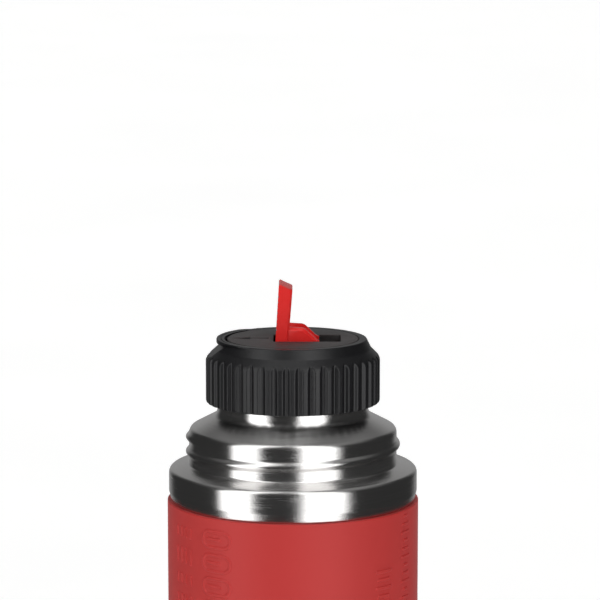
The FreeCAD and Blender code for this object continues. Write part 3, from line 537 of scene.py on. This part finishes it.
RIB_COUNT = 44
RIB_DEPTH = 1.1
RIB_STEPS = 20
GROOVE_SHARE = 0.66
GROOVE_POWER = 0.75
RING_RADIUS = ring_high.x
RIM_RADIUS = RING_RADIUS - 4.9
WAIST_RADIUS = RIM_RADIUS + 1.7
BORE_RADIUS = disc_high.x + 0.15
SKIRT_RADIUS = RING_RADIUS - 3.6
SHOULDER_DROP = 6.7
SHOULDER_ROUND = 3.0
WAIST_DROP = 3.5
WAIST_ROUND = 1.5
RING_SMOOTH = 50.0
SHELF_Z = NECK_TOP + 3.5
SPOUT_HALF = math.radians(46)
SPOUT_FADE = math.radians(2)
WALL_IN = BORE_RADIUS + 0.85
WALL_OUT = WALL_IN + 1.0
CHANNEL_RADIUS = RIM_RADIUS + 0.2
FLAT_LOW = 7.4
FLAT_SLOPE = 1.2
FLAT_REACH = 1.2
LIP_RADIUS = RIM_RADIUS + 1.0
LIP_RISE = 0.2
LIP_DROP = 1.3
LIP_END_DROP = 0.35
LIP_REACH = math.radians(62)
LIP_STEPS = 120
LIP_THINS = (math.radians(12), math.radians(36))
LIP_ENDS = (math.radians(42), math.radians(60))


def eased(share):
    """A share held between 0 and 1, with soft ends."""
    held = np.clip(share, 0, 1)
    return held * held * (3 - 2 * held)


def ring_outside():
    """The ring's outside from its foot to its rim."""
    return rounded([
        (SKIRT_RADIUS, RING_FOOT + 0.3, 0),
        (SKIRT_RADIUS + 0.3, RING_FOOT, 0.1),
        (RING_RADIUS, RING_FOOT, 0.8),
        (RING_RADIUS, STOPPER_TOP - SHOULDER_DROP, SHOULDER_ROUND),
        (WAIST_RADIUS, STOPPER_TOP - WAIST_DROP, WAIST_ROUND),
        (RIM_RADIUS, STOPPER_TOP, 0.45),
        (RIM_RADIUS - 0.5, STOPPER_TOP, 0),
    ], 6)


def inside_corners(stretch):
    """The ring's inner corners, from pairs of (radius, drop below the top) down to the shelf."""
    corners = [(radius, STOPPER_TOP - drop) for radius, drop in stretch]
    return [np.array(corner) for corner in corners + [(BORE_RADIUS, SHELF_Z), (SKIRT_RADIUS, SHELF_Z)]]


WALL_FOOT = 3.4
CHANNEL_TOP = 5.6
CHANNEL_FOOT = 8.2
SLOPE_FOOT = 9.6
BORE_START = 9.8
PLAIN_INSIDE = inside_corners([
    (BORE_RADIUS + 0.5, 0), (BORE_RADIUS + 0.1, 0.15), (BORE_RADIUS, 0.6),
    (BORE_RADIUS, WALL_FOOT), (BORE_RADIUS, CHANNEL_TOP), (BORE_RADIUS, CHANNEL_FOOT),
    (BORE_RADIUS, SLOPE_FOOT), (BORE_RADIUS, BORE_START),
])
SPOUT_INSIDE = inside_corners([
    (RIM_RADIUS - 0.7, 0.5), (WALL_OUT, 0.8), (WALL_IN, 1.8),
    (WALL_IN, WALL_FOOT), (CHANNEL_RADIUS, CHANNEL_TOP), (CHANNEL_RADIUS, CHANNEL_FOOT),
    (WALL_OUT, SLOPE_FOOT), (BORE_RADIUS, BORE_START),
])


def from_spout(turns):
    """The angle away from the spout, which points along -X."""
    return np.abs(turns % (2 * math.pi) - math.pi)


def ring_body():
    """The ribbed ring with the flat under the lip and the pouring channel inside it."""
    outline = refined(ring_outside() + PLAIN_INSIDE, RING_FOOT, STOPPER_TOP + 1, 0.4)
    spout = list(outline)
    corners = [next(index for index, point in enumerate(outline) if np.allclose(point, corner))
               for corner in PLAIN_INSIDE]
    first = corners[0]
    for low, high, start, end in zip(corners, corners[1:], SPOUT_INSIDE, SPOUT_INSIDE[1:]):
        for index in range(low, high + 1):
            share = (index - low) / (high - low)
            spout[index] = start * (1 - share) + end * share
    spout_radii = np.array([point[0] for point in spout])
    spout_heights = np.array([point[1] for point in spout])
    is_outside = np.arange(len(outline)) < first

    def shape(turns, radii, heights):
        away = np.abs((turns * RIB_COUNT / (2 * math.pi)) % 1.0 - 0.5) * 2
        wave = 0.5 + 0.5 * np.cos(math.pi * np.clip(away / GROOVE_SHARE, 0, 1))
        groove = wave ** GROOVE_POWER
        carved = np.minimum(radii, RING_RADIUS - RIB_DEPTH * groove)
        aside = from_spout(turns)
        plane = RING_RADIUS + FLAT_SLOPE * (STOPPER_TOP - FLAT_LOW - heights)
        reach = np.maximum(plane / np.maximum(np.cos(aside), 0.2), WALL_OUT)
        carved = np.minimum(carved, np.where(aside < FLAT_REACH, reach, np.inf))
        outer = np.where(is_outside, carved, radii)
        share = eased((SPOUT_HALF + SPOUT_FADE - aside) / SPOUT_FADE)
        inner_radii = radii * (1 - share) + spout_radii * share
        inner_heights = heights * (1 - share) + spout_heights * share
        return np.where(is_outside, outer, inner_radii), np.where(is_outside, heights, inner_heights)

    return lathe("black_grip_ring", outline, even_angles(RIB_COUNT * RIB_STEPS), shape, RING_SMOOTH)


def passed(aside, stretch):
    """How far an angle has come through a stretch of angles, from 0 to 1 with soft ends."""
    low, high = stretch
    return float(eased((aside - low) / (high - low)))


def lip_section(aside):
    """The pouring lip's outline at an angle from the spout: it thins and sinks into the rim."""
    ending = passed(aside, LIP_ENDS)
    thinning = passed(aside, LIP_THINS)
    out = LIP_RADIUS - ending * 1.25
    top = STOPPER_TOP + LIP_RISE - ending * (LIP_RISE + 0.1)
    low = STOPPER_TOP - LIP_DROP + thinning * (LIP_DROP - LIP_END_DROP)
    inside = WALL_IN + ending * 1.1
    return rounded([
        (inside + 0.5, (top + low) / 2, 0),
        (inside, top - 1.9 + ending * 1.5, 0.02),
        (inside + 0.9 * (1 - ending) + 0.1, low - 0.9 + ending * 0.8, 0.02),
        (out, low, 0.3 - ending * 0.24),
        (out, top, 0.28 - ending * 0.22),
        (out - 0.9 + ending * 0.65, top, 0.25 - ending * 0.2),
        (inside + 0.5, (top + low) / 2, 0),
    ], 4)[:-1]


def lip_piece():
    """The lip as a bead that follows the rim on both sides of the spout."""
    angles = np.linspace(-LIP_REACH, LIP_REACH, LIP_STEPS + 1)
    places = []
    for angle in angles:
        turn = math.pi + angle
        for radius, height in lip_section(abs(angle)):
            places.append((radius * math.cos(turn) * MM, radius * math.sin(turn) * MM, height * MM))
    count = len(places) // len(angles)
    faces = []
    for row in range(len(angles) - 1):
        for column in range(count):
            here = row * count + column
            beside = row * count + (column + 1) % count
            faces.append((here, beside, beside + count, here + count))
    faces.append(tuple(range(count)))
    faces.append(tuple(range(len(places) - 1, len(places) - count - 1, -1)))
    return mesh_piece("pouring_lip", places, faces, RING_SMOOTH)


def join(piece, other):
    """Make two meshes one piece."""
    pick(piece)
    other.select_set(True)
    bpy.ops.object.join()
    piece.select_set(False)


# Near black painted into a colour below a given height, as shade in recesses.
PAINTED_SHADE_BLACK = (0.006, 0.006, 0.006, 1)
SHADE_FADE = 0.00025


def moulded_plastic(name, colour, roughness, tooth_depth, shift=0.35, shine=0.5, depth_shade=None):
    """Moulded plastic: a fine tooth, slow changes of shade, and painted shade, near black, below the height
    depth_shade if given.
    """
    finish = Finish(bpy.data.materials.new(name))
    tooth = finish.noise((6500, 6500, 6500), 3.0, 0.65)
    cloud = finish.noise((60, 60, 60), 4.0, 0.6)
    dark = tuple(part * (1 - shift) for part in colour) + (1,)
    light = tuple(part * (1 + shift) for part in colour) + (1,)
    shade = finish.mix(cloud * 0.7 + tooth * 0.3, dark, light)
    # Painted shade: below the height depth_shade the colour fades to near black, standing in for shade.
    if depth_shade is not None:
        height = finish.node("ShaderNodeSeparateXYZ", {}, {0: finish.place}, 2)
        painted_shade_amount = (depth_shade - height) / SHADE_FADE + 0.5
        held = painted_shade_amount.sum_with("MINIMUM", 1.0).sum_with("MAXIMUM", 0.0)
        shade = finish.mix(held, shade, PAINTED_SHADE_BLACK)
    dull = cloud * 0.12 + tooth * 0.12 + (roughness - 0.12)
    normal = finish.bump(tooth, tooth_depth)
    return finish.surface(base_color=shade, roughness=dull, normal=normal, specular_ior_level=shine)


black_plastic = moulded_plastic("black_plastic", (0.008, 0.008, 0.009), 0.38, 0.00003, shine=0.4)
ring = ring_body()
join(ring, lip_piece())
plain_cover(ring, black_plastic)
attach(ring, "stopper")
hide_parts("grip_ring")

# ---------------------------------------------------------------------------------------------
# Top disc: dark grey moulded plastic, snapped into the ring, with the lever's slot and pocket
# and an arrow engraved towards the spout. Its moulded edges are softened. More than 0.35 mm
# under its top, in the arrow, the slot and the pocket, its colour is painted near black as shade.

DISC_EDGE = 0.14
# Depth under the disc's top below which its grey is painted near black as shade.
PAINTED_SHADE_DEPTH = 0.35


def softened_copy(node, name, edge, segments=2, angle=30.0):
    """A copy of a node's solid with its flat faces made whole and its sharp edges rounded."""
    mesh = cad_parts[node].data.copy()
    piece = bpy.data.objects.new(name, mesh)
    bpy.context.collection.objects.link(piece)
    pick(piece)
    bpy.ops.object.mode_set(mode="EDIT")
    bpy.ops.mesh.select_all(action="SELECT")
    bpy.ops.mesh.remove_doubles(threshold=0.000002)
    bpy.ops.mesh.dissolve_limited(angle_limit=math.radians(0.5))
    bpy.ops.object.mode_set(mode="OBJECT")
    soften(piece, edge, segments, angle)
    return piece


def soften(piece, edge, segments=2, angle=30.0):
    """Round a piece's sharp edges, and keep the rounding in its mesh."""
    bevel = piece.modifiers.new("soft_edges", "BEVEL")
    bevel.width = edge * MM
    bevel.segments = segments
    bevel.limit_method = "ANGLE"
    bevel.angle_limit = math.radians(angle)
    bevel.use_clamp_overlap = True
    bpy.context.view_layer.objects.active = piece
    bpy.ops.object.modifier_apply(modifier=bevel.name)
    smooth(piece, 40.0)


disc = softened_copy("top_disc", "grey_top_disc", DISC_EDGE)
# The grey is painted near black more than 0.35 mm under the disc's top, as shade in the engraving, slot and
# pocket.
grey_plastic = moulded_plastic("grey_plastic", (0.046, 0.041, 0.041), 0.55, 0.00005, 0.25,
                               depth_shade=(STOPPER_TOP - PAINTED_SHADE_DEPTH) * MM)
plain_cover(disc, grey_plastic)
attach(disc, "stopper")
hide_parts("top_disc")

# ---------------------------------------------------------------------------------------------
# Lever: glossy red plastic, a grooved tab on a boss round the pin, with a cam between two cheeks.
# It stands open, leaning a little towards the slot that it folds into.

PIVOT_X = (pin_low.x + pin_high.x) / 2
PIVOT_Z = (pin_low.z + pin_high.z) / 2
LEVER_LEAN = math.radians(3.5)
LEVER_WIDTH = 14.4
BOSS = 1.5
BOSS_FOOT = -BOSS * 0.8
BORE = 0.8
TAB_THICK = 4.7
TAB_LENGTH = 22.1
TAB_CHAMFER = 0.75
TIP_SLANT = 1.6
TAB_GROOVES = 7
TAB_GROOVE_PITCH = 2.0
TAB_GROOVE_DEPTH = 0.3
FAN_INSET = 0.6
FAN_CHAMFER = 1.1
CHEEK = 2.4
RECESS_DROP = 1.8
CAM_HEEL = 9.45
HEEL_WEST = BOSS - 0.45
CAM_RATE = 3.183
CAM_STEPS = 20
NOSE_CUT = math.radians(3.5)
FAN_RISE = 6.6
LEVER_EDGE = 0.18


def slab(name, stations):
    """A solid across Y from stations of (y, outline), each outline the corners (x, z) of its side."""
    count = len(stations[0][1])
    places = [(x * MM, side * MM, z * MM) for side, outline in stations for x, z in outline]
    last = (len(stations) - 1) * count
    faces = [tuple(range(count)), tuple(range(last + count - 1, last - 1, -1))]
    for row in range(len(stations) - 1):
        start = row * count
        faces += [(start + i, start + i + count, start + (i + 1) % count + count, start + (i + 1) % count)
                  for i in range(count)]
    return mesh_piece(name, places, faces, 30.0)


def combine(piece, other, operation):
    """Join or cut a piece with another, which is used up."""
    change = piece.modifiers.new("combine", "BOOLEAN")
    change.operation = operation
    change.solver = "EXACT"
    change.object = other
    bpy.context.view_layer.objects.active = piece
    bpy.ops.object.modifier_apply(modifier=change.name)
    bpy.data.objects.remove(other)


def cam_outline(inset, drop=0.0):
    """The cam's side: an involute from the heel up, then the fan's slope back to the tab."""
    points = []
    for step in range(CAM_STEPS + 1):
        angle = (step / CAM_STEPS - 1) * (math.pi / 2 - NOSE_CUT) - NOSE_CUT
        reach = CAM_HEEL + CAM_RATE * (angle + math.pi / 2) - inset - drop * 0.5
        across = reach * math.cos(angle) - CAM_RATE * math.sin(angle)
        along = reach * math.sin(angle) + CAM_RATE * math.cos(angle)
        points.append((across, along))
    tip_x, tip_z = points.pop()
    points += [tuple(point) for point in rounded([
        (tip_x, tip_z - 0.4, 0),
        (tip_x, tip_z, 0.25),
        (tip_x - 1.4 - inset * 0.3, tip_z + 0.6 - drop * 0.5, 3.0),
        (CAM_HEEL - 0.8 - inset * 0.3, FAN_RISE - inset - drop, 3.0),
        (TAB_THICK - BOSS - 1.0, FAN_RISE - inset - drop, 0),
    ], 5)]
    points += [(0.0, BOSS), (0.0, BOSS_FOOT), (HEEL_WEST, BOSS_FOOT), (HEEL_WEST, -CAM_HEEL)]
    return points


def tab_outline(inset):
    """The tab's side, with the finger grooves down its left face and a slanted tip."""
    points = [(-BOSS, 0.0)]
    floor_x = -BOSS + TAB_GROOVE_DEPTH
    for groove in range(TAB_GROOVES):
        level = TAB_LENGTH - 3.0 - TAB_GROOVE_PITCH * (TAB_GROOVES - groove)
        points += [(-BOSS, level), (floor_x, level + 0.35), (floor_x, level + 0.7), (-BOSS, level + 1.1)]
    right = TAB_THICK - BOSS - inset
    points += [(-BOSS, TAB_LENGTH - 0.35), (-BOSS + 0.5, TAB_LENGTH)]
    points += [(right + 0.1, TAB_LENGTH - TIP_SLANT), (right + 0.35, TAB_LENGTH - TIP_SLANT - 0.5)]
    points += [(right + 0.3, TAB_LENGTH - 6.0), (right, 0.0)]
    return points


def lever_piece():
    """Tab, boss and cam joined, hollowed between the cheeks and bored for the pin."""
    half = LEVER_WIDTH / 2
    side = half - FAN_INSET
    body = slab("red_lever", [
        (-half, tab_outline(TAB_CHAMFER)), (-half + TAB_CHAMFER, tab_outline(0.0)),
        (half - TAB_CHAMFER, tab_outline(0.0)), (half, tab_outline(TAB_CHAMFER)),
    ])
    for way in (-1, 1):
        combine(body, slab("cheek", [
            (way * side, cam_outline(FAN_CHAMFER)), (way * (side - FAN_CHAMFER), cam_outline(0.0)),
            (way * (side - CHEEK), cam_outline(0.0)),
        ]), "UNION")
    web = side - CHEEK + 0.1
    web_outline = cam_outline(0.5, RECESS_DROP)
    combine(body, slab("web", [(-web, web_outline), (web, web_outline)]), "UNION")
    circle = [(BOSS * math.cos(turn), BOSS * math.sin(turn)) for turn in even_angles(32)]
    combine(body, slab("boss", [(-half, circle), (half, circle)]), "UNION")
    bore = [(BORE * math.cos(turn), BORE * math.sin(turn)) for turn in even_angles(24)]
    combine(body, slab("bore", [(-half - 1, bore), (half + 1, bore)]), "DIFFERENCE")
    soften(body, LEVER_EDGE, 2, 28.0)
    ahead = math.cos(LEVER_LEAN)
    aside = math.sin(LEVER_LEAN)
    for vertex in body.data.vertices:
        x, y, z = vertex.co
        vertex.co = (PIVOT_X * MM + x * ahead + z * aside, y, PIVOT_Z * MM - x * aside + z * ahead)
    smooth(body, 35.0)
    return body


red_plastic = moulded_plastic("red_plastic", (0.74, 0.022, 0.020), 0.26, 0.00001, 0.08, shine=0.3)
lever = lever_piece()
plain_cover(lever, red_plastic)
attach(lever, "lever")
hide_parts("lever")

# ---------------------------------------------------------------------------------------------
# Inside the stopper: the threaded plug, the stem's guide, the stem with its silicone washer and
# clip, the spring, the pin, and the silicone rings that keep it all tight.

wire_steel = brushed_steel("spring_steel", (0.60, 0.61, 0.63), 0.25, 0.00001)


def pale_silicone():
    """Milky silicone with a satin skin."""
    finish = Finish(bpy.data.materials.new("pale_silicone"))
    cloud = finish.noise((300, 300, 300), 3.0)
    colour = finish.mix(cloud, (0.62, 0.62, 0.58, 1), (0.70, 0.70, 0.66, 1))
    normal = finish.bump(cloud, 0.00002)
    dull = cloud * 0.1 + 0.4
    return finish.surface(base_color=colour, roughness=dull, normal=normal, subsurface_weight=0.2)


silicone = pale_silicone()
for node in ("neck_gasket", "disc_seal", "stem_seal", "valve_washer"):
    plain_cover(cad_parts[node], silicone)
for node in ("valve_spring", "lever_pin", "washer_clip"):
    plain_cover(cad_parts[node], wire_steel)
# The guide and the stem lie below the disc's top, so their grey is painted near black there, as shade inside
# the stopper.
for node in ("valve_guide", "valve_stem"):
    plain_cover(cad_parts[node], grey_plastic)
plain_cover(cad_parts["plug_body"], black_plastic)
